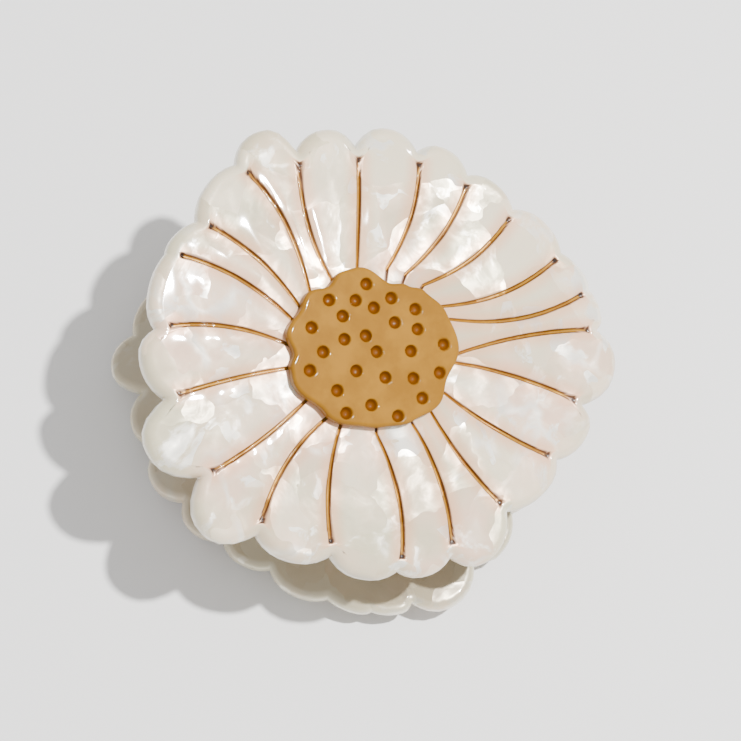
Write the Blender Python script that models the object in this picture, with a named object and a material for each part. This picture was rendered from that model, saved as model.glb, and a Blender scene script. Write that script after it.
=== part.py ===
"""Flower claw hair clip: two petalled acetate jaws on a sprung hinge, lying on its back jaw.

X runs along the hinge pin, +Y towards the handle end, -Y towards the teeth, +Z up.
Lengths in this file are in millimetres until place() turns them into metres.
"""

import math

import bmesh
import bpy
from mathutils import Matrix, Vector

# The two jaws
HALF_WEDGE = 11.0        # degrees between each plate and the plane midway between them
CENTRE_GAP = 12.0        # mid-plane to a plate's inner face, at the flower's centre
CENTRE_TO_HINGE = 5.0    # the hinge pin lies this far towards the handles from the flower centres

# Flower plate
PLATE = 3.6              # thickness
DOME = 1.2               # how far the rim at DOME_R bends towards the other jaw
DOME_R = 32.0
EDGE_ROUND = 1.2
GROOVE_HALF = 0.5
GROOVE_DEPTH = 0.55
PILLOW = 0.1             # petals stand this much higher in the middle than beside a groove
GROOVE_START = 11.5      # grooves run from under the centre disc

# One row for each groove, clockwise from the upper right, seen from outside: its angle and the
# notch radius at the rim, its angle at the centre disc, its sideways bow, then the angle and
# the radius of the tip of the petal that follows it.
PETALS = (
    (39, 28.5, 49, -0.2, 31, 31.5), (21, 29.0, 27, -1.4, 14, 31.0), (5, 29.0, 13, -1.4, -2, 30.5),
    (-11, 29.5, -2, -1.6, -18, 32.0), (-28, 32.0, -22, -1.8, -35, 34.0), (-39, 34.0, -32, -2.0, -46, 35.0),
    (-49, 34.0, -57, 0.9, -59, 36.5), (-68, 32.0, -63, 0.8, -74, 34.0), (-84, 31.0, -86, -0.7, -92, 32.0),
    (-104, 29.5, -103, -0.7, -115, 33.5), (-124, 30.5, -119, 1.4, -132, 32.0), (-139, 30.5, -147, 1.6, -149, 31.5),
    (-158, 29.0, -173, -1.3, -168, 31.5), (-179, 30.5, -183, -1.8, -189, 35.0), (-200, 30.5, -202, 0.8, -212, 35.0),
    (-222, 30.5, -223, -0.5, -233, 33.0), (-240, 31.0, -235, -1.6, -247, 32.5), (-259, 32.0, -250, -1.7, -264, 32.0),
    (-270, 30.5, -260, -1.5, -279, 32.5), (-288, 32.0, -271, -2.0, -299, 34.0), (-304, 29.5, -291, 1.4, -314, 31.5),
)

# Centre disc: a dozen shallow lobes, and drilled dimples
DISC = 2.0
DISC_ROUND = 0.7
DISC_OFFSET = (-1.2, 1.5)
DISC_RIM = (
    (41, 11.4), (16, 9.8), (2, 10.7), (-10, 11.7), (-30, 12.6), (-53, 13.2), (-75, 12.0), (-90, 12.6),
    (-112, 11.6), (-135, 10.8), (-150, 10.6), (-174, 11.1), (-186, 10.7), (-210, 11.8), (-221, 11.5), (-231, 10.7),
    (-246, 11.8), (-264, 11.0), (-276, 11.5), (-292, 10.3), (-306, 11.3),
)
DIMPLES = (
    (6, 6.9), (1, 10), (3.2, 6.9), (3.9, 4.2), (6.5, 2.9), (7.3, -0.8), (0.3, 7.2), (-3.6, 9.9), (4, 0.6),
    (5.2, -2.6), (-2.2, 5.2), (0, 3), (-5.4, 6.7), (-0.9, 0.5), (2.1, -3.5), (5.7, -6.9), (-8.6, 6.8), (-4.8, 1.4),
    (-3.1, -2.5), (-0.8, -5.9), (2.1, -8.6), (-8.6, 2.1), (-2.3, -8.5), (-7.4, -3), (-10.4, -0.7), (-6.4, -7),
)
DIMPLE_R = 0.9
DIMPLE_DEPTH = 0.6

# Claw comb: flat under the plate, bent down to teeth that cross the mid-plane
COMB = 2.6               # thickness
COMB_HALF = 21.5         # half the width of the strip
COMB_START = 11.0        # where the strip starts, towards the handles
COMB_BEND = -11.0        # where it starts to bend
BEND_R = 11.0
BEND_TO = 70             # degrees
SLOT_FROM = 36           # degrees of bend at which the strip divides into teeth
TOOTH_STRAIGHT = 0.8
TEETH = 6
TOOTH_PITCH = 7.0
TOOTH_ROOT = 3.6
TOOTH_TIP = 1.6

# Hinge
LEAF = 0.8
LEAF_HALF = 9.5
LEAF_FROM, LEAF_TO = -1.5, 7.0
EARS = (5.6, -4.5)
EAR_END_R = 2.1
PIN_R = 0.95
PIN_HOLE_R = 1.02
PIN_HALF = 6.3
RIVET_AT = 7.6
RIVET_R = 0.9
WIRE_R = 0.3
COIL_R = 2.2
COIL_HALF = 3.0
COIL_TURNS = 4           # each way from the middle
CLEAR = 0.25             # gap between pieces that rest on each other


# ---------------------------------------------------------------- frames
TILT = math.radians(HALF_WEDGE)
DISC_TOP = PLATE + CLEAR + DISC

# From a jaw's own frame (z = 0 on the plate's inner face, z outwards) to the frame of the wedge,
# whose origin is on the hinge axis, and on to the row frame, in which the back plate lies level.
TO_WEDGE = Matrix.Translation((0, -CENTRE_TO_HINGE, CENTRE_GAP)) @ Matrix.Rotation(TILT, 4, "X")
TURN_OVER = Matrix.Rotation(math.pi, 4, "Y")
LEVEL = Matrix.Rotation(TILT, 4, "X")
BACK_LEVEL = LEVEL @ TURN_OVER @ TO_WEDGE
LIFT = Matrix.Translation((0, 4.27, DISC_TOP - BACK_LEVEL.translation.z))
WEDGE = LIFT @ LEVEL
FRONT = WEDGE @ TO_WEDGE
BACK = LIFT @ BACK_LEVEL
PIN_IN_JAW = TO_WEDGE.inverted() @ Vector((0, 0, 0))


def clear_scene():
    for obj in list(bpy.data.objects):
        bpy.data.objects.remove(obj, do_unlink=True)


def material(name, colour, roughness, metallic=0.0):
    made = bpy.data.materials.new(name)
    made.use_nodes = True
    shader = made.node_tree.nodes["Principled BSDF"]
    shader.inputs["Base Color"].default_value = (*colour, 1)
    shader.inputs["Roughness"].default_value = roughness
    shader.inputs["Metallic"].default_value = metallic
    return made


def mesh_of(points, faces):
    """A closed bmesh from points in millimetres and faces by index, with its faces turned out."""
    bm = bmesh.new()
    verts = [bm.verts.new(p) for p in points]
    for face in faces:
        bm.faces.new([verts[i] for i in face])
    bmesh.ops.recalc_face_normals(bm, faces=bm.faces)
    return bm


def place(name, bm, frame, finish, pivot=None, smooth=35):
    """Turns a bmesh in millimetres in its own frame into a named object in metres."""
    bm.transform(Matrix.Scale(0.001, 4) @ frame)
    if pivot:
        bm.transform(pivot.matrix_world.inverted())
    mesh = bpy.data.meshes.new(name)
    bm.to_mesh(mesh)
    bm.free()
    mesh.shade_smooth()
    mesh.set_sharp_from_angle(angle=math.radians(smooth))
    mesh.materials.append(finish)
    obj = bpy.data.objects.new(name, mesh)
    bpy.context.scene.collection.objects.link(obj)
    if pivot:
        obj.parent = pivot
    return obj


def cutter(name, bm):
    obj = bpy.data.objects.new(name, bpy.data.meshes.new(name))
    bm.to_mesh(obj.data)
    bm.free()
    obj.hide_render = True
    obj.display_type = "WIRE"
    bpy.context.scene.collection.objects.link(obj)
    return obj


def boolean(obj, other, operation):
    step = obj.modifiers.new(other.name, "BOOLEAN")
    step.operation = operation
    step.solver = "EXACT"
    step.object = other


# ---------------------------------------------------------------- flower plate
def dome(x, y):
    return -DOME * (x * x + y * y) / DOME_R ** 2


def groove_angle(row, s):
    """Angle of a groove, in radians, at share s of the way from the disc to its notch."""
    out_deg, notch, in_deg, bow = row[:4]
    a = Vector((math.cos(math.radians(in_deg)), math.sin(math.radians(in_deg)))) * GROOVE_START
    b = Vector((math.cos(math.radians(out_deg)), math.sin(math.radians(out_deg)))) * notch
    along = b - a
    side = Vector((-along.y, along.x)).normalized()
    at = a + along * s + side * bow * 4 * s * (1 - s)
    # Counted from the notch's own angle, so that rows past half a turn stay in order.
    turn = math.atan2(at.y, at.x) - math.radians(out_deg)
    return math.radians(out_deg) + (turn + math.pi) % (2 * math.pi) - math.pi


def petal_reach(row, after, share):
    """Radius of the rim at this share of the way from one groove to the next."""
    after_deg = after[0] - (360 if after[0] > row[0] else 0)
    tip = (row[4] - row[0]) / (after_deg - row[0])
    base = row[1] + (after[1] - row[1]) * share
    base_at_tip = row[1] + (after[1] - row[1]) * tip
    off = (tip - share) / tip if share < tip else (share - tip) / (1 - tip)
    return base + (row[5] - base_at_tip) * (1 - off ** 2.4)


def flower():
    """The plate: rings of points that follow the grooves, from the middle out and back underneath."""
    # (share of the way out, inset of the rim, height above the inner face, how deep grooves are)
    rings = (
        (-0.5, 0, PLATE, 0), (0.0, 0, PLATE, 1), (0.3, 0, PLATE, 1), (0.6, 0, PLATE, 1), (0.86, 0, PLATE, 1),
        (1.0, EDGE_ROUND, PLATE - 0.1, 0.5), (1.0, 0, PLATE - EDGE_ROUND, 0.1), (1.0, 0, EDGE_ROUND, 0),
        (1.0, EDGE_ROUND, 0.0, 0), (0.6, 0, 0.0, 0), (0.15, 0, 0.0, 0),
    )
    shares = (0.0, None, 0.28, 0.5, 0.72, None)
    points, faces = [], []
    for s, inset, height, carved in rings:
        for k, row in enumerate(PETALS):
            after = PETALS[(k + 1) % len(PETALS)]
            first = groove_angle(row, max(s, 0))
            second = groove_angle(after, max(s, 0)) - (2 * math.pi if after[0] > row[0] else 0)
            for column, share in enumerate(shares):
                reach = petal_reach(row, after, share if share is not None else (0.04 if column == 1 else 0.96))
                radius = GROOVE_START + s * (reach - GROOVE_START) - inset
                if share is not None:
                    angle = first + share * (second - first)
                elif column == 1:
                    angle = first - GROOVE_HALF / radius
                else:
                    angle = second + GROOVE_HALF / radius
                x, y = radius * math.cos(angle), radius * math.sin(angle)
                z = height + dome(x, y)
                if column == 0:
                    z -= carved * (GROOVE_DEPTH + PILLOW)
                elif share is None:
                    z -= carved * PILLOW
                points.append((x, y, z))
    count = len(PETALS) * len(shares)
    for ring in range(len(rings) - 1):
        for i in range(count):
            j = (i + 1) % count
            a, b = ring * count, (ring + 1) * count
            faces.append((a + i, a + j, b + j, b + i))
    top, under = len(points), len(points) + 1
    points += [(0, 0, PLATE), (0, 0, 0)]
    last = (len(rings) - 1) * count
    for i in range(count):
        j = (i + 1) % count
        faces += [(top, j, i), (under, last + i, last + j)]
    return mesh_of(points, faces)


# ---------------------------------------------------------------- centre disc
def disc_rim(turn):
    """Rim radius of the disc at an angle in degrees, easing between its lobes."""
    for k, (low, radius) in enumerate(DISC_RIM):
        high, after = DISC_RIM[(k + 1) % len(DISC_RIM)]
        gap = (low - high) % 360
        if (low - turn) % 360 < gap:
            share = ((low - turn) % 360) / gap
            ease = (1 - math.cos(math.pi * share)) / 2
            return radius + (after - radius) * ease
    return DISC_RIM[0][1]


def disc():
    """A low button whose under side follows the plate's dome."""
    base = PLATE + CLEAR
    sides = 48
    rings = ((0.5, 0, DISC), (1, DISC_ROUND, DISC), (1, 0.1, DISC - DISC_ROUND), (1, 0, 0.6), (1, 0.3, 0), (0.5, 0, 0))
    points, faces = [], []
    for share, inset, height in rings:
        for i in range(sides):
            turn = -360 * i / sides
            radius = share * disc_rim(turn) - inset
            x = DISC_OFFSET[0] + radius * math.cos(math.radians(turn))
            y = DISC_OFFSET[1] + radius * math.sin(math.radians(turn))
            points.append((x, y, base + height + (0 if height > DISC_ROUND else dome(x, y) * 0.9)))
    for ring in range(len(rings) - 1):
        for i in range(sides):
            j = (i + 1) % sides
            a, b = ring * sides, (ring + 1) * sides
            faces.append((a + i, a + j, b + j, b + i))
    top, under = len(points), len(points) + 1
    points += [(*DISC_OFFSET, base + DISC), (*DISC_OFFSET, base)]
    last = (len(rings) - 1) * sides
    for i in range(sides):
        j = (i + 1) % sides
        faces += [(top, j, i), (under, last + i, last + j)]
    return mesh_of(points, faces)


def dimple_bits():
    """Cone-ended drills, one for each dimple, as one cutter."""
    bm = bmesh.new()
    top = PLATE + CLEAR + DISC
    for x, y in DIMPLES:
        at = Matrix.Translation((x, y, top - DIMPLE_DEPTH + 1.0))
        made = bmesh.ops.create_cone(bm, cap_ends=True, segments=9, radius1=0.45 * DIMPLE_R, radius2=DIMPLE_R * 1.7,
                                     depth=2.0, matrix=at)
        assert made["verts"]
    bmesh.ops.recalc_face_normals(bm, faces=bm.faces)
    return bm


# ---------------------------------------------------------------- claw comb
def comb_line(s):
    """(y, z, slope in radians) on the strip's middle line, at length s from its handle end."""
    flat = COMB_START - COMB_BEND
    mid = -CLEAR - COMB / 2
    if s <= flat:
        return COMB_START - s, mid, 0.0
    turn = min((s - flat) / BEND_R, math.radians(BEND_TO))
    y = COMB_BEND - BEND_R * math.sin(turn)
    z = mid - BEND_R * (1 - math.cos(turn))
    past = s - flat - BEND_R * turn
    if past > 0:
        y -= past * math.cos(turn)
        z -= past * math.sin(turn)
    return y, z, turn


def comb():
    """A grid of cells along the strip. Cells between the teeth are left out, and walls close the rest."""
    flat = COMB_START - COMB_BEND
    root = flat + BEND_R * math.radians(SLOT_FROM)
    end = flat + BEND_R * math.radians(BEND_TO) + TOOTH_STRAIGHT
    lengths = [0, 0.5 * flat, flat] + [flat + (root - flat) * k / 2 for k in (1, 2)]
    lengths += [root + (end - root) * k / 4 for k in (1, 2, 3, 4)]
    root_row = 4
    centres = [(k - TEETH / 2 + 0.25) * TOOTH_PITCH for k in range(TEETH)]
    lines, toothed = [-COMB_HALF], []
    for x in centres:
        toothed += [len(lines), len(lines) + 1]
        lines += [x - TOOTH_ROOT / 2, x, x + TOOTH_ROOT / 2]
    lines.append(COMB_HALF)
    points, index = [], {}
    for row, s in enumerate(lengths):
        y, z, turn = comb_line(s)
        past = max(0, (s - root) / (end - root))
        for column, x in enumerate(lines):
            if 0 < column < len(lines) - 1:
                middle = centres[(column - 1) // 3]
                x = middle + (x - middle) * (1 - past * (1 - TOOTH_TIP / TOOTH_ROOT))
            for side in (1, -1):
                half = COMB / 2 * (1 - 0.3 * past)
                py, pz = y - side * half * math.sin(turn), z + side * half * math.cos(turn)
                index[row, column, side] = len(points)
                points.append((x, py, pz + dome(x, max(y, COMB_BEND))))
    cells = set()
    for row in range(len(lengths) - 1):
        for column in range(len(lines) - 1):
            if row < root_row or column in toothed:
                cells.add((row, column))
    faces = []
    for row, column in cells:
        corners = ((row, column), (row, column + 1), (row + 1, column + 1), (row + 1, column))
        faces.append([index[r, c, 1] for r, c in corners])
        faces.append([index[r, c, -1] for r, c in reversed(corners)])
        beside = ((row - 1, column), (row, column + 1), (row + 1, column), (row, column - 1))
        for k, other in enumerate(beside):
            if other not in cells:
                (ra, ca), (rb, cb) = corners[k], corners[(k + 1) % 4]
                faces.append((index[rb, cb, 1], index[ra, ca, 1], index[ra, ca, -1], index[rb, cb, -1]))
    used = sorted({i for face in faces for i in face})
    renumber = {old: new for new, old in enumerate(used)}
    return mesh_of([points[i] for i in used], [[renumber[i] for i in face] for face in faces])


# ---------------------------------------------------------------- hinge
LEAF_TOP = -CLEAR - COMB - CLEAR - 0.1


def box(low, high):
    bm = bmesh.new()
    middle = [(a + b) / 2 for a, b in zip(low, high)]
    size = [b - a for a, b in zip(low, high)]
    bmesh.ops.create_cube(bm, size=1, matrix=Matrix.Translation(middle) @ Matrix.Diagonal((*size, 1)))
    return bm


def rod(radius, low, high, axis, at, sides=24):
    """A round bar along X or Z."""
    bm = bmesh.new()
    turn = Matrix.Rotation(math.pi / 2, 4, "Y") if axis == "X" else Matrix.Identity(4)
    middle = Vector(at) + Vector((1, 0, 0) if axis == "X" else (0, 0, 1)) * (low + high) / 2
    bmesh.ops.create_cone(bm, cap_ends=True, segments=sides, radius1=radius, radius2=radius, depth=high - low,
                          matrix=Matrix.Translation(middle) @ turn)
    return bm


def ear(x):
    """One ear: a plate that narrows from the leaf to a round end about the pin."""
    py, pz = PIN_IN_JAW.y, PIN_IN_JAW.z
    outline = [(py + 3.4, LEAF_TOP - 0.3), (py - 3.4, LEAF_TOP - 0.3)]
    for k in range(11):
        turn = math.radians(195 + 150 * k / 10)
        outline.append((py + EAR_END_R * math.cos(turn), pz + EAR_END_R * math.sin(turn)))
    bm = bmesh.new()
    face = bm.faces.new([bm.verts.new((x - LEAF / 2, y, z)) for y, z in outline])
    out = bmesh.ops.extrude_face_region(bm, geom=[face])
    bmesh.ops.translate(bm, vec=(LEAF, 0, 0), verts=[v for v in out["geom"] if isinstance(v, bmesh.types.BMVert)])
    bmesh.ops.recalc_face_normals(bm, faces=bm.faces)
    return bm


def hinge_leaf(name, frame, finish, pivot):
    plate = box((-LEAF_HALF, LEAF_FROM, LEAF_TOP - LEAF), (LEAF_HALF, LEAF_TO, LEAF_TOP))
    corners = [e for e in plate.edges if abs(e.verts[0].co.z - e.verts[1].co.z) > LEAF / 2]
    bmesh.ops.bevel(plate, geom=corners, offset=1.6, segments=3, affect="EDGES", profile=0.5)
    obj = place(name, plate, frame, finish, pivot)
    scale = (pivot.matrix_world.inverted() if pivot else Matrix.Identity(4)) @ Matrix.Scale(0.001, 4) @ frame
    at_pin = (0, PIN_IN_JAW.y, PIN_IN_JAW.z)
    for k, x in enumerate(EARS):
        side = ear(x)
        side.transform(scale)
        helper = cutter(f"{name}_ear_{k}", side)
        helper.parent = pivot
        boolean(obj, helper, "UNION")
    holes = [rod(PIN_HOLE_R, -8, 8, "X", at_pin, 32)]
    holes += [rod(RIVET_R + 0.12, -1, 1, "Z", (x, 3.0, LEAF_TOP - LEAF / 2), 20) for x in (-RIVET_AT, RIVET_AT)]
    for k, hole in enumerate(holes):
        hole.transform(scale)
        helper = cutter(f"{name}_hole_{k}", hole)
        helper.parent = pivot
        boolean(obj, helper, "DIFFERENCE")
    return obj


def drill_comb(obj, frame, pivot):
    scale = (pivot.matrix_world.inverted() if pivot else Matrix.Identity(4)) @ Matrix.Scale(0.001, 4) @ frame
    for k, x in enumerate((-RIVET_AT, RIVET_AT)):
        hole = rod(RIVET_R + 0.12, -2.4, 2.4, "Z", (x, 3.0, -CLEAR - COMB / 2), 20)
        hole.transform(scale)
        helper = cutter(f"{obj.name}_hole_{k}", hole)
        helper.parent = pivot
        boolean(obj, helper, "DIFFERENCE")


def turned(profile, sides, frame):
    """A solid of revolution about +Z from (radius, z) points that start and end on the axis."""
    bm = bmesh.new()
    verts = [bm.verts.new((r, 0, z)) for r, z in profile]
    edges = [bm.edges.new(pair) for pair in zip(verts, verts[1:])]
    bmesh.ops.spin(bm, geom=verts + edges, cent=(0, 0, 0), axis=(0, 0, 1), angle=2 * math.pi, steps=sides,
                   use_merge=True)
    bmesh.ops.remove_doubles(bm, verts=bm.verts, dist=0.001)
    bmesh.ops.recalc_face_normals(bm, faces=bm.faces)
    bm.transform(frame)
    return bm


def rivet(x):
    """Domed head on the leaf's inner face, shank through the leaf and the comb."""
    under = LEAF_TOP - LEAF - 0.08
    tail = -CLEAR - 0.15
    profile = [(0, under - 0.75), (0.7, under - 0.65), (1.2, under - 0.35), (1.4, under), (RIVET_R, under),
               (RIVET_R, tail - 0.2), (RIVET_R - 0.2, tail), (0, tail)]
    return turned(profile, 16, Matrix.Translation((x, 3.0, dome(x, 3.0))))


def hinge_pin():
    head = EARS[0] + LEAF / 2 + 0.2
    profile = [(0, -head - 0.8), (1.0, -head - 0.7), (1.6, -head - 0.35), (1.6, -head), (PIN_R, -head)]
    profile += [(r, -z) for r, z in reversed(profile)]
    return turned(profile, 20, Matrix.Rotation(math.pi / 2, 4, "Y"))


def spring_line():
    """Middle line of the torsion spring in the wedge frame: a coil with a leg at each end."""
    steps = 12
    last = 2 * math.pi * COIL_TURNS - math.radians(15)
    count = int(last / (2 * math.pi) * steps)
    coil = []
    for k in range(-count, count + 1):
        turn = last * k / count
        coil.append(Vector((COIL_HALF * k / count, COIL_R * math.cos(turn), COIL_R * math.sin(turn))))
    along = Vector((0, -math.sin(last), math.cos(last)))
    leg = [coil[-1] + along * reach for reach in (2.4, 4.8, 6.6)]
    flipped = [Vector((-p.x, p.y, -p.z)) for p in reversed(leg)]
    return flipped + coil + leg


def spring():
    """A six-sided wire swept along the line, with each ring kept square to it."""
    line = spring_line()
    points, faces = [], []
    sides = 6
    for k, p in enumerate(line):
        ahead = (line[min(k + 1, len(line) - 1)] - line[max(k - 1, 0)]).normalized()
        side = Vector((1, 0, 0)).cross(ahead).normalized()
        up = ahead.cross(side)
        for i in range(sides):
            turn = 2 * math.pi * i / sides
            points.append(p + (side * math.cos(turn) + up * math.sin(turn)) * WIRE_R)
    for k in range(len(line) - 1):
        for i in range(sides):
            j = (i + 1) % sides
            a, b = k * sides, (k + 1) * sides
            faces.append((a + i, a + j, b + j, b + i))
    faces += [tuple(range(sides)), tuple(range(len(points) - sides, len(points)))]
    return mesh_of(points, faces)


# ---------------------------------------------------------------- assembly
def main():
    clear_scene()
    pearl = material("pearl_acetate", (0.74, 0.72, 0.68), 0.18)
    gold = material("gold_acetate", (0.55, 0.32, 0.08), 0.22)
    steel = material("hinge_steel", (0.62, 0.60, 0.56), 0.3, 1.0)
    wire = material("spring_steel", (0.55, 0.55, 0.56), 0.28, 1.0)

    pivot = bpy.data.objects.new("jaw_pivot", None)
    pivot.location = WEDGE.translation * 0.001
    bpy.context.scene.collection.objects.link(pivot)
    bpy.context.view_layer.update()

    for side, frame, parent in (("front", FRONT, pivot), ("back", BACK, None)):
        place(f"{side}_flower", flower(), frame, pearl, parent, 50)
        centre = place(f"{side}_centre", disc(), frame, gold, parent, 50)
        bits = dimple_bits()
        bits.transform((parent.matrix_world.inverted() if parent else Matrix.Identity(4))
                       @ Matrix.Scale(0.001, 4) @ frame)
        drill = cutter(f"{side}_centre_drill", bits)
        drill.parent = parent
        boolean(centre, drill, "DIFFERENCE")
        strip = place(f"{side}_claw_comb", comb(), frame, pearl, parent, 40)
        drill_comb(strip, frame, parent)
        hinge_leaf(f"{side}_hinge_leaf", frame, steel, parent)
        for k, x in enumerate((-RIVET_AT, RIVET_AT), 1):
            place(f"{side}_rivet_{k}", rivet(x), frame, steel, parent, 50)
    place("hinge_pin", hinge_pin(), WEDGE, steel, None, 50)
    place("torsion_spring", spring(), WEDGE, wire, None, 60)


main()
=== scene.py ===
"""Looks of the flower claw hair clip: fine flowers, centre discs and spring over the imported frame."""

import math

import bpy
import numpy as np
from mathutils import Matrix, Vector


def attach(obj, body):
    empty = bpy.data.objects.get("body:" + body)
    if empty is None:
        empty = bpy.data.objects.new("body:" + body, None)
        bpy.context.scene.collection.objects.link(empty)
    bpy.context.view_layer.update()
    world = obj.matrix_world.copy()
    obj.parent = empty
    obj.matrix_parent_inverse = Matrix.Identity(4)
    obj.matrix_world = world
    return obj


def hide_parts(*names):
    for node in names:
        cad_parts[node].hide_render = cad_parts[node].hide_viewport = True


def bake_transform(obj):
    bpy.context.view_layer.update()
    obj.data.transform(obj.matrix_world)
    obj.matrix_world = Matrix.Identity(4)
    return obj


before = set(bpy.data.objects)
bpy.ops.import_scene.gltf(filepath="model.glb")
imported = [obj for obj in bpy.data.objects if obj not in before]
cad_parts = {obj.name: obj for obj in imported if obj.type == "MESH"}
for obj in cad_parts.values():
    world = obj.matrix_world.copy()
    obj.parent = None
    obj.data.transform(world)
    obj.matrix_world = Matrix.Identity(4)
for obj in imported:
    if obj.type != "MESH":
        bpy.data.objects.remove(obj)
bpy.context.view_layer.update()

# ---------------------------------------------------------------- dimensions, in millimetres and degrees
HALF_WEDGE = 11.0           # each flower leans this far from the plane between the halves
CENTRE_GAP = 12.0           # from the pin up to the inner face at a flower's centre
CENTRE_TO_HINGE = 5.0       # from the pin back to a flower's centre
PIN_Y = 4.27
PLATE = 3.6                 # thickness of a flower
DOME, DOME_R = 1.2, 32.0    # how far a plate falls towards its rim, at this radius
TOP_ROUND, TOP_STEPS = 1.5, 10
UNDER_ROUND, UNDER_STEPS = 1.2, 8
UNDER_SHARES = (0.85, 0.6, 0.35, 0.1)

GROOVE_START = 11.5         # radius where a carved line begins, under the disc
GROOVE_END_INSET = 1.9      # it ends this far inside the notch between two petals
GROOVE_DEPTH = 0.6
GROOVE_WIDTH = (0.22, 0.34)     # half width at the disc, and from GROOVE_WIDE_AT of its length outwards
GROOVE_WIDE_AT = 0.45
GROOVE_ROUNDNESS = 0.6
LINE_STEPS = 150
PAINT_SPREAD, PAINT_EDGE = 0.04, 0.07
END_DOT, END_DOT_EDGE = 0.5, 0.2
END_DOT_PAINT = 1.8         # this mask is 1 where a line is gold, and runs on to this value in the dot of painted shade that ends it
BESIDE = (0.09, 0.18, 0.27, 0.36, 0.45, 0.65)       # columns of points this far to each side of a line
MOST_BESIDE = 0.13          # share of the petal that those columns take at most
PETAL_SHARES = (0.16, 0.28, 0.4, 0.5, 0.6, 0.72, 0.84)
PETAL_ROUNDNESS = 2.4
# Rings of points on a plate's top, from under the disc at 0 to the rounded edge at 1
RING_SHARES = np.concatenate([np.linspace(0, 0.12, 4)[:-1], np.linspace(0.12, 1, 64)])
RIM_PULL = 10               # power of the share by which a column is drawn over to its place on the rim
RIM_CALM = 8                # power of the share by which the polish evens out at the rim
USUAL_NOTCH = 29.5
FAR_FROM_LINE = 9.0
PILLOW, PILLOW_REACH = 0.16, 1.1            # each petal falls this much beside its lines

CLEAR = 0.25                # between a plate and its disc
DISC = 2.0
DISC_FALL = 0.12            # from the disc's middle to its rim
DISC_ROUND, DISC_ROUND_STEPS = 0.55, 8
DISC_SIDES, DISC_RINGS = 360, 84
DISC_FIRST_RING = 0.02
# The disc's side and underside: inset from the rim, and height over its base
DISC_UNDER = ((0.0, 0.5), (0.15, -0.02), (0.5, -0.18), (6.0, -0.18))
DISC_UNDER_MIDDLE, DISC_DOME_SHARE = -0.1, 0.9
DIMPLE_R, DIMPLE_DEPTH, DIMPLE_ROUNDNESS = 0.88, 0.95, 0.8
DRILLED_EDGE, DRILLED_BIAS = 0.12, 0.3

# Groove angle and notch radius at the rim, angle at the disc, bow, then the petal tip's angle and radius
PETALS = (
    (39, 28.5, 49, -0.2, 31, 31.5), (21, 29.0, 27, -1.4, 14, 31.0), (5, 29.0, 13, -1.4, -2, 30.5),
    (-11, 29.5, -2, -1.6, -18, 32.0), (-28, 32.0, -22, -1.8, -35, 34.0), (-39, 34.0, -32, -2.0, -46, 35.0),
    (-49, 34.0, -57, 0.9, -59, 36.5), (-68, 32.0, -63, 0.8, -74, 34.0), (-84, 31.0, -86, -0.7, -92, 32.0),
    (-104, 29.5, -103, -0.7, -115, 33.5), (-124, 30.5, -119, 1.4, -132, 32.0),
    (-139, 30.5, -147, 1.6, -149, 31.5), (-158, 29.0, -173, -1.3, -168, 31.5),
    (-179, 30.5, -183, -1.8, -189, 35.0), (-200, 30.5, -202, 0.8, -212, 35.0),
    (-222, 30.5, -223, -0.5, -233, 33.0), (-240, 31.0, -235, -1.6, -247, 32.5),
    (-259, 32.0, -250, -1.7, -264, 32.0), (-270, 30.5, -260, -1.5, -279, 32.5),
    (-288, 32.0, -271, -2.0, -299, 34.0), (-304, 29.5, -291, 1.4, -314, 31.5),
)
DISC_OFFSET = (-1.2, 1.5)
# Angle and radius of the lobes and dips round the disc
DISC_RIM = (
    (41, 11.4), (16, 9.8), (2, 10.7), (-10, 11.7), (-30, 12.6), (-53, 13.2), (-75, 12.0),
    (-90, 12.6), (-112, 11.6), (-135, 10.8), (-150, 10.6), (-174, 11.1), (-186, 10.7), (-210, 11.8),
    (-221, 11.5), (-231, 10.7), (-246, 11.8), (-264, 11.0), (-276, 11.5), (-292, 10.3), (-306, 11.3),
)
DIMPLES = (
    (6, 6.9), (1, 10), (3.2, 6.9), (3.9, 4.2), (6.5, 2.9), (7.3, -0.8), (0.3, 7.2), (-3.6, 9.9), (4, 0.6),
    (5.2, -2.6), (-2.2, 5.2), (0, 3), (-5.4, 6.7), (-0.9, 0.5), (2.1, -3.5), (5.7, -6.9), (-8.6, 6.8),
    (-4.8, 1.4), (-3.1, -2.5), (-0.8, -5.9), (2.1, -8.6), (-8.6, 2.1), (-2.3, -8.5), (-7.4, -3),
    (-10.4, -0.7), (-6.4, -7),
)

COIL_R, COIL_HALF, COIL_TURNS = 2.2, 3.0, 4     # the coil's turns are those of each half
COIL_END = 2 * math.pi * COIL_TURNS - math.radians(15)
COIL_STEPS = 190
LEG_REACHES = (1.0, 2.4, 4.0, 5.4, 6.6)
WIRE_R, WIRE_SIDES = 0.3, 12

# Where the design's own frames lie at rest: the hinge, and the plates of the front and the back flower
LEVEL = Matrix.Rotation(math.radians(HALF_WEDGE), 4, "X")
TO_WEDGE = Matrix.Translation((0, -CENTRE_TO_HINGE, CENTRE_GAP)) @ LEVEL
BACK_LEVEL = LEVEL @ Matrix.Rotation(math.pi, 4, "Y") @ TO_WEDGE
LIFT = Matrix.Translation((0, PIN_Y, PLATE + CLEAR + DISC - BACK_LEVEL.translation.z))
WEDGE = LIFT @ LEVEL
FRONT = WEDGE @ TO_WEDGE
BACK = LIFT @ BACK_LEVEL


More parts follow.
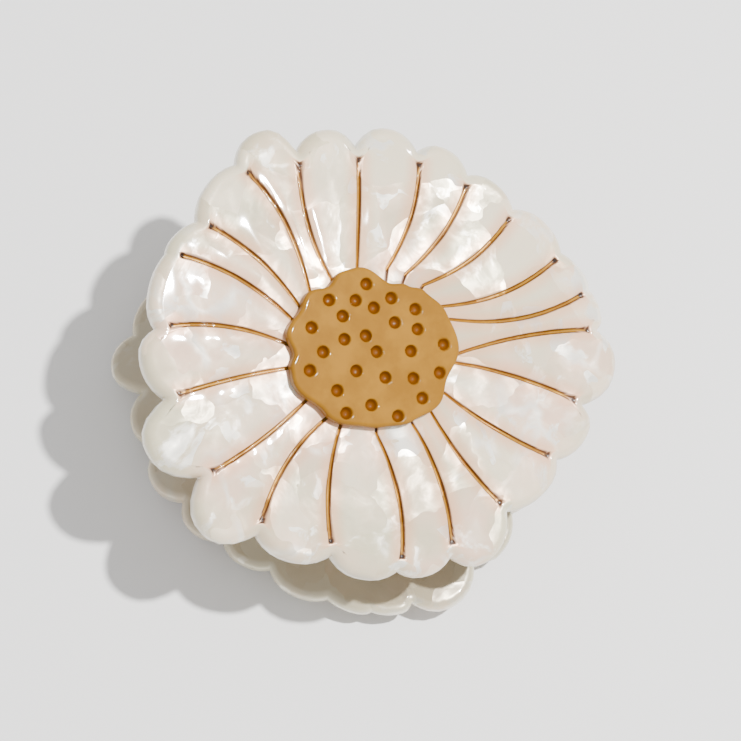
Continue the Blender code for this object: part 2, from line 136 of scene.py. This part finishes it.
# ---------------------------------------------------------------- helpers
def show(name, points, faces, place, finish, facts=None):
    """Points in millimetres in a piece's own frame become a smooth object in the scene."""
    turn = np.array(place)
    world = (np.asarray(points, float) @ turn[:3, :3].T + turn[:3, 3]) * 0.001
    mesh = bpy.data.meshes.new(name)
    mesh.from_pydata(world.tolist(), [], faces)
    mesh.update()
    for label, values in (facts or {}).items():
        layer = mesh.attributes.new(label, "FLOAT", "POINT")
        layer.data.foreach_set("value", np.asarray(values, np.float32))
    mesh.shade_smooth()
    mesh.materials.append(finish)
    obj = bpy.data.objects.new(name, mesh)
    bpy.context.scene.collection.objects.link(obj)
    return obj


def ring_faces(rings, count):
    """Quads between rings of points, with every ring closed."""
    faces = []
    for ring in range(rings - 1):
        a, b = ring * count, (ring + 1) * count
        for i in range(count):
            j = (i + 1) % count
            faces.append((a + i, a + j, b + j, b + i))
    return faces


def outward(points, faces):
    """The faces, turned round if the closed shape they make is inside out."""
    p = np.asarray(points, float)
    volume = 0.0
    for f in faces:
        for k in range(1, len(f) - 1):
            volume += np.dot(p[f[0]], np.cross(p[f[k]], p[f[k + 1]]))
    return faces if volume > 0 else [tuple(reversed(f)) for f in faces]


def dome(x, y):
    return -DOME * (x * x + y * y) / DOME_R ** 2


def compass(degrees):
    return np.array((math.cos(math.radians(degrees)), math.sin(math.radians(degrees))))


class Rings:
    """Closed rings of points, from the middle of a top over its edge to the middle of its underside."""

    def __init__(self, **blank):
        self.blank = blank
        self.points = []
        self.facts = {label: [] for label in blank}

    def add(self, xy, z, **facts):
        """One ring. What isn't said about it is blank."""
        self.points.append(np.column_stack([xy, z]))
        for label, values in self.facts.items():
            values.append(np.broadcast_to(facts.get(label, self.blank[label]), len(xy)))

    def closed(self, top, under):
        """Points, faces and facts, with a point in the middle of each end."""
        count, total = len(self.points[0]), len(self.points)
        points = np.vstack([*self.points, [top, under]])
        faces = ring_faces(total, count)
        middle, last = total * count, (total - 1) * count
        for i in range(count):
            j = (i + 1) % count
            faces += [(middle, j, i), (middle + 1, last + i, last + j)]
        facts = {}
        for label, values in self.facts.items():
            facts[label] = np.concatenate([*values, [self.blank[label]] * 2])
        return points, outward(points, faces), facts


# ---------------------------------------------------------------- flower
def groove_angle(row, s):
    """The angle of a carved line, at each share s of the way from the disc to the rim."""
    out_deg, notch, in_deg, bow = row[:4]
    start = compass(in_deg) * GROOVE_START
    along = compass(out_deg) * notch - start
    side = np.array((-along[1], along[0])) / np.hypot(*along)
    at = start + along * s[:, None] + side * (bow * 4 * s * (1 - s))[:, None]
    turn = np.arctan2(at[:, 1], at[:, 0]) - math.radians(out_deg)
    return math.radians(out_deg) + (turn + math.pi) % (2 * math.pi) - math.pi


def groove_line(row):
    """Points along a carved line, from under the disc to its outer end."""
    end = row[1] - GROOVE_END_INSET
    turned = groove_angle(row, np.linspace(0, (end - GROOVE_START) / (row[1] - GROOVE_START), LINE_STEPS))
    reach = np.linspace(GROOVE_START, end, LINE_STEPS)
    return np.column_stack([reach * np.cos(turned), reach * np.sin(turned)])


def next_degrees(row, after):
    return after[0] - (360 if after[0] > row[0] else 0)


def petal_reach(row, after, share):
    """The radius of the rim, at a share of the way round from one notch to the next."""
    tip = (row[4] - row[0]) / (next_degrees(row, after) - row[0])
    base = row[1] + (after[1] - row[1]) * share
    base_at_tip = row[1] + (after[1] - row[1]) * tip
    off = (tip - share) / tip if share < tip else (share - tip) / (1 - tip)
    return base + (row[5] - base_at_tip) * (1 - off ** PETAL_ROUNDNESS)


def petal_columns():
    """(petal, offset from its nearest line or None, share of the petal) for each column of points."""
    columns = []
    for k in range(len(PETALS)):
        columns.append((k, 0.0, 0.0))
        columns += [(k, d, 0.0) for d in BESIDE]
        columns += [(k, None, share) for share in PETAL_SHARES]
        columns += [(k, d, 1.0) for d in reversed(BESIDE)]
    return columns


def row_and_next(k):
    return PETALS[k], PETALS[(k + 1) % len(PETALS)]


def outline_of(columns):
    outline = []
    for k, offset, share in columns:
        row, after = row_and_next(k)
        span = math.radians(row[0] - next_degrees(row, after))
        if offset is not None:
            aside = offset / (USUAL_NOTCH * span)
            share = aside if share == 0 else 1 - aside
        outline.append(petal_reach(row, after, share) * compass(row[0] - math.degrees(share * span)))
    return np.array(outline)


def inward_of(outline):
    """Unit vectors square to the rim, smoothed so that they don't cross in a notch."""
    along = np.roll(outline, -1, 0) - np.roll(outline, 1, 0)
    inward = np.stack([along[:, 1], -along[:, 0]], 1)
    inward /= np.linalg.norm(inward, axis=1)[:, None]
    inward *= -np.sign((inward * outline).sum(1).mean())
    for _ in range(6):
        inward = (np.roll(inward, 1, 0) + 2 * inward + np.roll(inward, -1, 0)) / 4
        inward /= np.linalg.norm(inward, axis=1)[:, None]
    return inward


def column_points(k, offset, share, edge_r, edge_a):
    """One column on the top of a plate, which follows its carved line and ends on the rim's edge."""
    row, after = row_and_next(k)
    first = groove_angle(row, RING_SHARES)
    second = groove_angle(after, RING_SHARES) - (2 * math.pi if after[0] > row[0] else 0)
    radius = GROOVE_START + RING_SHARES * (edge_r - GROOVE_START)
    if offset is None:
        angle = first + share * (second - first)
    else:
        aside = offset * np.minimum(1, MOST_BESIDE * (first - second) * radius / BESIDE[-1])
        angle = first - aside / radius if share == 0 else second + aside / radius
    miss = (edge_a - angle[-1] + math.pi) % (2 * math.pi) - math.pi
    angle = angle + miss * RING_SHARES ** RIM_PULL
    return np.column_stack([radius * np.cos(angle), radius * np.sin(angle)])


def uneven_polish(x, y):
    return 0.05 * np.sin(x * 0.55 + 1.3) * np.sin(y * 0.47 - 0.6) + 0.03 * np.sin(x * 1.1 - y * 0.9)


def flower_shape():
    """Points, faces and facts of one plate, with its lines carved."""
    columns = petal_columns()
    outline = outline_of(columns)
    inward = inward_of(outline)
    edge = outline + inward * TOP_ROUND
    edge_r, edge_a = np.hypot(edge[:, 0], edge[:, 1]), np.arctan2(edge[:, 1], edge[:, 0])
    widened = np.clip(RING_SHARES / GROOVE_WIDE_AT, 0, 1)
    half_width = GROOVE_WIDTH[0] + (GROOVE_WIDTH[1] - GROOVE_WIDTH[0]) * widened
    lines = [groove_line(row) for row in PETALS]

    top = np.zeros((len(RING_SHARES), len(columns), 2))
    away, carve, paint = np.zeros((3, len(RING_SHARES), len(columns)))
    for c, (k, offset, share) in enumerate(columns):
        top[:, c] = column_points(k, offset, share, edge_r[c], edge_a[c])
        line = lines[k if share < 0.5 else (k + 1) % len(PETALS)]
        gap = np.hypot(top[:, c, 0, None] - line[:, 0], top[:, c, 1, None] - line[:, 1]).min(1)
        to_end = np.hypot(top[:, c, 0] - line[-1, 0], top[:, c, 1] - line[-1, 1])
        away[:, c] = gap
        carve[:, c] = GROOVE_DEPTH * np.clip(1 - (gap / half_width) ** 2, 0, 1) ** GROOVE_ROUNDNESS
        gilded = np.clip((half_width + PAINT_SPREAD - gap) / PAINT_EDGE, 0, 1)
        # The dot of painted shade at a line's outer end
        end_shade = END_DOT_PAINT * np.clip((END_DOT - to_end) / END_DOT_EDGE, 0, 1)
        paint[:, c] = np.maximum(gilded, end_shade)

    rings = Rings(paint=0.0, beside=FAR_FROM_LINE, rim=0.0, inner=0.0)
    for r, share in enumerate(RING_SHARES):
        x, y = top[r, :, 0], top[r, :, 1]
        pillow = -PILLOW * np.exp(-(away[r] / PILLOW_REACH) ** 2) * min(1, share * 3)
        height = PLATE - carve[r] + (pillow + uneven_polish(x, y)) * (1 - share ** RIM_CALM)
        rings.add(top[r], height + dome(x, y), paint=paint[r], beside=away[r])

    def add_edge(xy, z, **facts):
        rings.add(xy, z + dome(xy[:, 0], xy[:, 1]), **facts)

    # These rings carry the mask along which the rounded edge is painted darker as shade
    for k in range(1, TOP_STEPS + 1):
        turn = math.pi / 2 * k / TOP_STEPS
        inset, drop = TOP_ROUND * (1 - math.sin(turn)), TOP_ROUND * (1 - math.cos(turn))
        add_edge(outline + inward * inset, PLATE - drop, rim=k / TOP_STEPS)
    # The underside's rings carry the mask along which the inner face is painted in shade
    for k in range(UNDER_STEPS + 1):
        turn = math.pi / 2 * k / UNDER_STEPS
        inset, height = UNDER_ROUND * (1 - math.cos(turn)), UNDER_ROUND * (1 - math.sin(turn))
        add_edge(outline + inward * inset, height, rim=1.0, inner=k / UNDER_STEPS)
    for share in UNDER_SHARES:
        add_edge((outline + inward * UNDER_ROUND) * share, 0.0, inner=1.0)
    return rings.closed((0, 0, PLATE), (0, 0, 0))


# ---------------------------------------------------------------- centre disc
def disc_rim(turn):
    """The disc's radius at an angle, eased between the lobes and dips."""
    for k, (low, radius) in enumerate(DISC_RIM):
        high, after = DISC_RIM[(k + 1) % len(DISC_RIM)]
        gap = (low - high) % 360
        if (low - turn) % 360 < gap:
            share = ((low - turn) % 360) / gap
            return radius + (after - radius) * (1 - math.cos(math.pi * share)) / 2
    return DISC_RIM[0][1]


def disc_shape():
    """A polished button with drilled dimples in its top."""
    turns = [-360 * i / DISC_SIDES for i in range(DISC_SIDES)]
    rim = np.array([disc_rim(t) for t in turns])
    unit = np.array([compass(t) for t in turns])
    base = PLATE + CLEAR
    rings = Rings(drilled=0.0)

    def at(radius):
        return unit * radius[:, None] + DISC_OFFSET

    for share in np.linspace(DISC_FIRST_RING, 1, DISC_RINGS):
        xy = at(share * (rim - DISC_ROUND))
        z = np.full(DISC_SIDES, base + DISC - DISC_FALL * share ** 2)
        drilled = np.zeros(DISC_SIDES)
        for x, y in DIMPLES:
            gap = np.hypot(xy[:, 0] - x, xy[:, 1] - y)
            z -= DIMPLE_DEPTH * np.clip(1 - (gap / DIMPLE_R) ** 3, 0, 1) ** DIMPLE_ROUNDNESS
            # The mask along which the dimples are painted in shade
            drilled = np.maximum(drilled, np.clip((DIMPLE_R - gap) / DRILLED_EDGE + DRILLED_BIAS, 0, 1))
        rings.add(xy, z, drilled=drilled)
    for k in range(1, DISC_ROUND_STEPS + 1):
        turn = math.pi / 2 * k / DISC_ROUND_STEPS
        drop = DISC_FALL + DISC_ROUND * (1 - math.cos(turn))
        rings.add(at(rim - DISC_ROUND * (1 - math.sin(turn))), np.full(DISC_SIDES, base + DISC - drop))
    for inset, z in DISC_UNDER:
        xy = at(rim - inset)
        rings.add(xy, base + z + DISC_DOME_SHARE * dome(xy[:, 0], xy[:, 1]))
    return rings.closed((*DISC_OFFSET, base + DISC), (*DISC_OFFSET, base + DISC_UNDER_MIDDLE))


# ---------------------------------------------------------------- spring
def spring_shape():
    """A coil of wire about the hinge's X axis, with a leg towards each leaf."""
    coil = []
    for k in range(-COIL_STEPS, COIL_STEPS + 1):
        turn = COIL_END * k / COIL_STEPS
        coil.append(Vector((COIL_HALF * k / COIL_STEPS, COIL_R * math.cos(turn), COIL_R * math.sin(turn))))
    leg_way = Vector((0, -math.sin(COIL_END), math.cos(COIL_END)))
    leg = [coil[-1] + leg_way * reach for reach in LEG_REACHES]
    wire = [Vector((-p.x, p.y, -p.z)) for p in reversed(leg)] + coil + leg
    points = []
    for k, p in enumerate(wire):
        ahead = (wire[min(k + 1, len(wire) - 1)] - wire[max(k - 1, 0)]).normalized()
        across = Vector((1, 0, 0)).cross(ahead).normalized()
        up = ahead.cross(across)
        for i in range(WIRE_SIDES):
            turn = 2 * math.pi * i / WIRE_SIDES
            points.append(tuple(p + (across * math.cos(turn) + up * math.sin(turn)) * WIRE_R))
    faces = ring_faces(len(wire), WIRE_SIDES)
    faces += [tuple(range(WIRE_SIDES)), tuple(reversed(range(len(points) - WIRE_SIDES, len(points))))]
    return points, outward(points, faces)


# ---------------------------------------------------------------- materials
class Shader:
    """A short way to write a node tree."""

    def __init__(self, name):
        self.material = bpy.data.materials.new(name)
        self.material.use_nodes = True
        self.tree = self.material.node_tree
        self.surface = self.tree.nodes["Principled BSDF"]

    def add(self, kind, settings=None, **inputs):
        """A node. An input is named with _ for each space, or as _0, _1 and so on by its place."""
        node = self.tree.nodes.new(kind)
        for key, value in (settings or {}).items():
            setattr(node, key, value)
        for key, value in inputs.items():
            place = int(key[1:]) if key[0] == "_" else key.replace("_", " ")
            self.feed(node.inputs[place], value)
        return node

    def feed(self, socket, value):
        if isinstance(value, bpy.types.NodeSocket):
            self.tree.links.new(value, socket)
        else:
            socket.default_value = value

    def set(self, **inputs):
        for key, value in inputs.items():
            self.feed(self.surface.inputs[key.replace("_", " ")], value)

    def math(self, operation, a, b):
        return self.add("ShaderNodeMath", {"operation": operation}, _0=a, _1=b).outputs[0]

    def vector(self, operation, a, b):
        return self.add("ShaderNodeVectorMath", {"operation": operation}, _0=a, _1=b).outputs[0]

    def swing(self, texture, amount):
        """A texture's colour as a vector that swings about nothing."""
        centred = self.vector("SUBTRACT", texture.outputs["Color"], (0.5, 0.5, 0.5))
        return self.add("ShaderNodeVectorMath", {"operation": "SCALE"}, _0=centred, Scale=amount).outputs[0]

    def step(self, value, low, high, to_low=0.0, to_high=1.0):
        node = self.add("ShaderNodeMapRange", {"interpolation_type": "SMOOTHSTEP"}, Value=value)
        for key, number in zip(("From Min", "From Max", "To Min", "To Max"), (low, high, to_low, to_high)):
            node.inputs[key].default_value = number
        return node.outputs[0]

    def mix(self, factor, a, b):
        node = self.add("ShaderNodeMix", {"data_type": "RGBA"})
        for socket, value in ((node.inputs[0], factor), (node.inputs[6], a), (node.inputs[7], b)):
            self.feed(socket, (*value, 1) if isinstance(value, tuple) else value)
        return node.outputs[2]

    def parts(self, texture):
        return self.add("ShaderNodeSeparateColor", Color=texture.outputs["Color"]).outputs

    def fact(self, name):
        return self.add("ShaderNodeAttribute", {"attribute_name": name}).outputs["Fac"]

    def place(self):
        return self.add("ShaderNodeTexCoord").outputs["Object"]

    def noise(self, where, scale, detail, rough=0.5):
        return self.add("ShaderNodeTexNoise", Vector=where, Scale=scale, Detail=detail, Roughness=rough)

    def cells(self, where, scale, feature="F1"):
        return self.add("ShaderNodeTexVoronoi", {"feature": feature}, Vector=where, Scale=scale)


CREAM, PINK, PALE, MOSS, WHITE = (
    (0.62, 0.56, 0.39), (0.82, 0.57, 0.42), (0.90, 0.78, 0.60), (0.62, 0.58, 0.38), (1.0, 0.97, 0.88))
# Painted shade on a carved plate's rim and inner face, and a painted peach glow beside its lines
RIM_SHADE, INNER_FACE_SHADE, PEACH_GLOW = (0.64, 0.59, 0.40), (0.36, 0.31, 0.22), (0.80, 0.40, 0.20)
# The last two are painted shade on a line's walls and in the dot at its end
GOLD_DEEP, GOLD_LIGHT, GROOVE_WALL_SHADE, END_DOT_SHADE = (
    (0.34, 0.14, 0.008), (0.46, 0.22, 0.012), (0.085, 0.026, 0.003), (0.022, 0.008, 0.003))
# The last is painted shade in the dimples
MUSTARD_DEEP, MUSTARD_LIGHT, DIMPLE_SHADE = (
    (0.215, 0.095, 0.006), (0.275, 0.127, 0.010), (0.135, 0.042, 0.002))


def pearl(name, carved):
    """Pearly acetate: flakes under a smooth polish, with paler veins, and paler shards and flakes that are
    also painted white as painted glints. A carved plate is painted darker at its rounded rim and on its inner
    face as painted shade, painted peach beside its lines as a painted glow, and gold in them, with painted
    shade along their walls and in the dot that ends each."""
    s = Shader(name)
    where = s.place()
    bent = s.vector("ADD", where, s.swing(s.noise(where, 95.0, 3.0), 0.011))
    large = s.cells(bent, 125.0)
    small = s.cells(bent, 330.0)
    streak = s.noise(bent, 260.0, 4.0, 0.6)
    normal = s.add("ShaderNodeNewGeometry").outputs["Normal"]
    leaning = s.vector("ADD", s.vector("ADD", normal, s.swing(large, 0.42)), s.swing(streak, 0.5))
    leaning = s.add("ShaderNodeVectorMath", {"operation": "NORMALIZE"}, _0=leaning).outputs[0]
    streak = streak.outputs["Fac"]

    cloud = s.noise(where, 55.0, 3.0).outputs["Fac"]
    colour = s.mix(s.step(cloud, 0.38, 0.62), CREAM, PINK)
    tone = s.parts(large)
    colour = s.mix(s.step(tone[0], 0.2, 0.9, 0.0, 0.55), colour, PALE)
    colour = s.mix(s.step(tone[1], 0.72, 0.8, 0.0, 0.35), colour, MOSS)
    # Shards and flakes are paler in the acetate itself, and are also painted white as painted glints; veins
    # are the acetate's own paler pattern
    shard_glint = s.math("MULTIPLY", s.step(s.parts(small)[0], 0.86, 0.9), s.step(streak, 0.47, 0.56))
    flake_glint = s.math("MULTIPLY", s.step(tone[2], 0.70, 0.82), s.step(streak, 0.48, 0.62))
    border = s.cells(bent, 80.0, "DISTANCE_TO_EDGE").outputs["Distance"]
    vein = s.math("MULTIPLY", s.step(border, 0.0, 0.07, 0.85, 0.0), s.step(cloud, 0.50, 0.58))
    pale_and_glint = s.math("MAXIMUM", s.math("MAXIMUM", shard_glint, flake_glint), vein)
    colour = s.mix(s.math("MULTIPLY", pale_and_glint, 0.85), colour, WHITE)
    metallic = s.math("ADD", s.math("MULTIPLY", pale_and_glint, 0.35), 0.14)
    if carved:
        # The rounded rim is painted darker and greener as painted shade
        colour = s.mix(s.math("MULTIPLY", s.fact("rim"), 0.5), colour, RIM_SHADE)
        # The inner face is painted darker brown-grey as painted shade
        colour = s.mix(s.math("MULTIPLY", s.fact("inner"), 0.8), colour, INNER_FACE_SHADE)
        beside = s.fact("beside")
        # The acetate beside each gold line is painted peach as a painted glow from the gold
        colour = s.mix(s.step(beside, 0.3, 2.6, 0.62, 0.0), colour, PEACH_GLOW)
        gold = s.mix(s.step(streak, 0.35, 0.65), GOLD_DEEP, GOLD_LIGHT)
        # Both edges of each gold line are painted dark brown as painted shade on the groove's walls
        gold = s.mix(s.step(beside, 0.12, 0.24), gold, GROOVE_WALL_SHADE)
        # The outer end of each line is painted dark brown as painted shade in its hollow
        gold = s.mix(s.step(s.fact("paint"), 1.1, 1.7), gold, END_DOT_SHADE)
        paint = s.math("MINIMUM", s.fact("paint"), 1.0)
        colour = s.mix(paint, colour, gold)
        bare = s.math("MULTIPLY", metallic, s.math("SUBTRACT", 1.0, paint))
        metallic = s.math("ADD", bare, s.math("MULTIPLY", paint, 0.3))
    s.set(Base_Color=colour, Metallic=metallic, Roughness=0.34, Normal=leaning, IOR=1.49,
          Subsurface_Weight=0.25, Subsurface_Radius=(1.0, 0.85, 0.7), Subsurface_Scale=0.002,
          Coat_Weight=0.85, Coat_Roughness=0.05, Coat_IOR=1.45)
    return s.material


def gold_disc():
    """Mustard acetate, faintly mottled, with painted shade in its drilled dimples."""
    s = Shader("gold disc")
    mottle = s.noise(s.place(), 210.0, 4.0, 0.6).outputs["Fac"]
    colour = s.mix(s.step(mottle, 0.35, 0.68), MUSTARD_DEEP, MUSTARD_LIGHT)
    # The dimples are painted dark brown as painted shade
    colour = s.mix(s.fact("drilled"), colour, DIMPLE_SHADE)
    s.set(Base_Color=colour, Roughness=0.5, Specular_IOR_Level=0.05, Coat_Weight=0.25, Coat_Roughness=0.06,
          Coat_IOR=1.45)
    return s.material


def metal(name, low, high, rough):
    s = Shader(name)
    scuff = s.noise(s.place(), 700.0, 3.0).outputs["Fac"]
    s.set(Base_Color=s.mix(s.step(scuff, 0.35, 0.65), low, high), Metallic=1.0, Roughness=rough)
    return s.material


# ---------------------------------------------------------------- pieces
carved_pearl = pearl("carved pearl acetate", True)
plain_pearl = pearl("pearl acetate", False)
disc_gold = gold_disc()
hinge_gold = metal("gold plate", (0.72, 0.50, 0.24), (0.83, 0.62, 0.34), 0.24)
wire_steel = metal("spring steel", (0.50, 0.50, 0.51), (0.62, 0.62, 0.63), 0.28)


def show_plates():
    """The flower and the disc of each half, in place of its plain ones."""
    flower, disc = flower_shape(), disc_shape()
    for side, place, body in (("front", FRONT, "front_half"), ("back", BACK, "back_half")):
        for (points, faces, facts), finish, name, replaced, slot in (
                (flower, carved_pearl, f"{side}_petals", f"{side}_flower", "pearl_acetate"),
                (disc, disc_gold, f"{side}_button", f"{side}_centre", "gold_acetate")):
            obj = show(name, points, faces, place, finish, facts)
            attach(obj, body)
            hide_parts(replaced)


def show_spring():
    spring = show("spring_wire", *spring_shape(), WEDGE, wire_steel)
    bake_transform(spring)
    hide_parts("torsion_spring")


BEVEL_SEGMENTS, BEVEL_ANGLE = 3, 35


def dress(name, finish, round_over=0):
    """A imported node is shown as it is, with its edges eased and its own finish."""
    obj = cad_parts[name]
    obj.data.materials.clear()
    obj.data.materials.append(finish)
    if round_over:
        ease = obj.modifiers.new("eased edges", "BEVEL")
        ease.width = round_over * 0.001
        ease.segments = BEVEL_SEGMENTS
        ease.limit_method = "ANGLE"
        ease.angle_limit = math.radians(BEVEL_ANGLE)
        ease.harden_normals = True


show_plates()
show_spring()
for side in ("front", "back"):
    dress(f"{side}_claw_comb", plain_pearl, 0.45)
    dress(f"{side}_hinge_leaf", hinge_gold, 0.12)
    for k in (1, 2):
        dress(f"{side}_rivet_{k}", hinge_gold)
dress("hinge_pin", hinge_gold)

# ---------------------------------------------------------------- stage, light and camera, in metres
SKY_STRENGTH = 0.95
SHADOW_PER_HEIGHT = (-0.187, 0.337)         # how far the shadow falls along X and Y, for each unit of height
KEY_DISTANCE, KEY_SIZE = 0.75, 0.024
KEY_STRENGTH = 7.1                          # in watts per square metre at the clip
VIEW_AZIMUTH, VIEW_ELEVATION, VIEW_DISTANCE = math.radians(-58), math.radians(72.5), 0.41
VIEW_WIDTH = 0.10207                        # what the picture takes in at the clip
AIM_LEFT, AIM_DOWN = 0.00103, 0.00282       # from the front flower's centre to the picture's
SENSOR = 36


def add_object(name, data):
    obj = bpy.data.objects.new(name, data)
    bpy.context.scene.collection.objects.link(obj)
    return obj


def add_floor():
    mesh = bpy.data.meshes.new("floor")
    mesh.from_pydata([(-3, -3, 0), (3, -3, 0), (3, 3, 0), (-3, 3, 0)], [], [(0, 1, 2, 3)])
    paper = Shader("pale paper")
    paper.set(Base_Color=(0.80, 0.80, 0.805, 1), Roughness=1.0, Specular_IOR_Level=0.0)
    mesh.materials.append(paper.material)
    add_object("floor", mesh)


def add_sky():
    sky = bpy.data.worlds.new("studio")
    sky.use_nodes = True
    background = sky.node_tree.nodes["Background"]
    background.inputs[0].default_value = (1.0, 1.0, 1.0, 1)
    background.inputs[1].default_value = SKY_STRENGTH
    bpy.context.scene.world = sky


def add_key_light():
    way = Vector((*SHADOW_PER_HEIGHT, -1)).normalized()
    key = add_object("key", bpy.data.lights.new("key", "AREA"))
    key.data.shape = "DISK"
    key.data.size = KEY_SIZE
    key.data.energy = math.pi * KEY_DISTANCE ** 2 * KEY_STRENGTH
    key.data.color = (1.0, 0.985, 0.96)
    key.rotation_euler = way.to_track_quat("-Z", "Y").to_euler()
    key.location = -way * KEY_DISTANCE


def add_camera():
    level, tilt = math.cos(VIEW_ELEVATION), math.sin(VIEW_ELEVATION)
    right = Vector((math.cos(VIEW_AZIMUTH), math.sin(VIEW_AZIMUTH), 0))
    back = Vector((math.sin(VIEW_AZIMUTH) * level, -math.cos(VIEW_AZIMUTH) * level, tilt))
    up = back.cross(right)
    target = FRONT @ Vector((0, 0, PLATE)) * 0.001 - right * AIM_LEFT - up * AIM_DOWN
    camera = add_object("camera", bpy.data.cameras.new("camera"))
    camera.data.sensor_width = SENSOR
    camera.data.lens = SENSOR * VIEW_DISTANCE / VIEW_WIDTH
    camera.data.clip_start = 0.01
    camera.location = target + back * VIEW_DISTANCE
    camera.rotation_euler = Matrix((right, up, back)).transposed().to_euler()
    bpy.context.scene.camera = camera


add_floor()
add_sky()
add_key_light()
add_camera()
